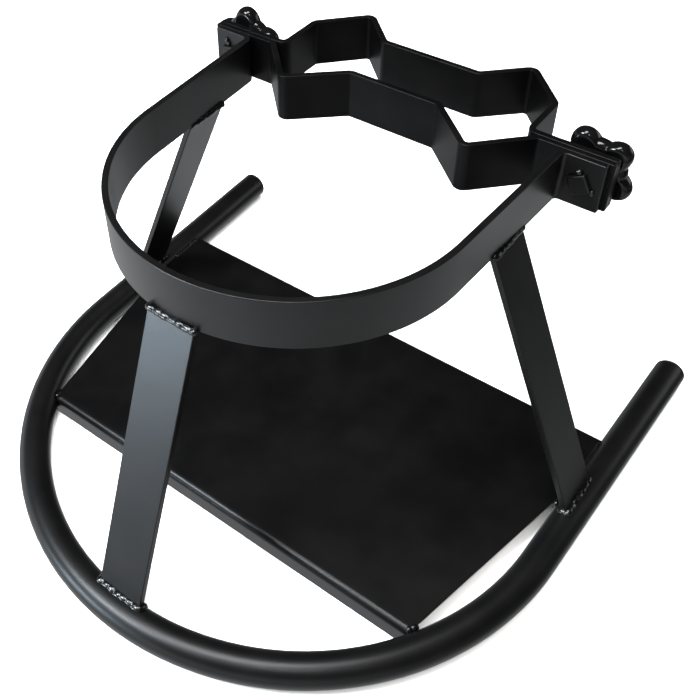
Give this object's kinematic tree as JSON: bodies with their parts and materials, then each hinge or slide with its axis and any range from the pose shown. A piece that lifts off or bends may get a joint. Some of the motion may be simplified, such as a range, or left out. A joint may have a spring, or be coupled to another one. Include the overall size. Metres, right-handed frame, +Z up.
{
  "type": "drum dolly",
  "caption": "Static drum cradle: U-shaped pipe base with plate, three leaning bars, round flat-bar band and two V-notched clamp straps held by star knobs.",
  "frame": {"origin": "on the floor, under the centre of the bounding box", "axes": "+X to the right-hand ear, +Y from the closed front of the U towards its open rear, +Z up"},
  "size_m": [0.6346, 0.6111, 0.3732],
  "materials": {
    "powder_coat": "satin black powder coat",
    "dark_steel": "black oxide steel, satin",
    "knob_plastic": "glossy black moulded plastic"
  },
  "bodies": {
    "frame": {"base_tube": "powder_coat", "tube_end_cap_left": "powder_coat", "tube_end_cap_right": "powder_coat", "base_plate": "powder_coat", "front_upright": "powder_coat", "left_upright": "powder_coat", "right_upright": "powder_coat", "band": "powder_coat", "weld_front_foot": "powder_coat", "weld_left_foot": "powder_coat", "weld_right_foot": "powder_coat", "weld_front_top": "powder_coat", "weld_left_top": "powder_coat", "weld_right_top": "powder_coat", "weld_plate_corner_left": "powder_coat", "weld_plate_corner_right": "powder_coat", "weld_plate_side_left": "powder_coat", "weld_plate_side_right": "powder_coat", "clamp_bolt_left": "powder_coat", "clamp_bolt_right": "powder_coat", "bolt_tack_left": "powder_coat", "bolt_tack_right": "powder_coat"},
    "near_strap": {"near_strap": "powder_coat"},
    "far_strap": {"far_strap": "powder_coat"},
    "washer_left": {"washer_left": "dark_steel"},
    "washer_right": {"washer_right": "dark_steel"},
    "knob_left": {"knob_left": "knob_plastic", "knob_insert_left": "dark_steel"},
    "knob_right": {"knob_right": "knob_plastic", "knob_insert_right": "dark_steel"}
  },
  "joints": [
    {"name": "near_strap_slide", "type": "slide", "parent": "frame", "child": "near_strap", "axis": [0, 1, 0], "range_m": [0, 0.045]},
    {"name": "far_strap_slide", "type": "slide", "parent": "near_strap", "child": "far_strap", "axis": [0, 1, 0], "range_m": [0, 0.036]},
    {"name": "washer_left_travel", "type": "slide", "parent": "far_strap", "child": "washer_left", "axis": [0, 1, 0], "range_m": [0, 0.0196]},
    {"name": "knob_left_turn", "type": "hinge", "parent": "washer_left", "child": "knob_left", "pos_m": [-0.198, 0.18314, 0.3329], "axis": [0, 1, 0], "range_deg": [0, 3600]},
    {"name": "washer_right_travel", "type": "slide", "parent": "far_strap", "child": "washer_right", "axis": [0, 1, 0], "range_m": [0, 0.0196]},
    {"name": "knob_right_turn", "type": "hinge", "parent": "washer_right", "child": "knob_right", "pos_m": [0.198, 0.18314, 0.3329], "axis": [0, 1, 0], "range_deg": [0, 3600]}
  ],
  "couplings": [
    {"joint": "washer_left_travel", "follows": "knob_left_turn", "m_per_rad": 0.000311},
    {"joint": "washer_right_travel", "follows": "knob_right_turn", "m_per_rad": 0.000311}
  ]
}
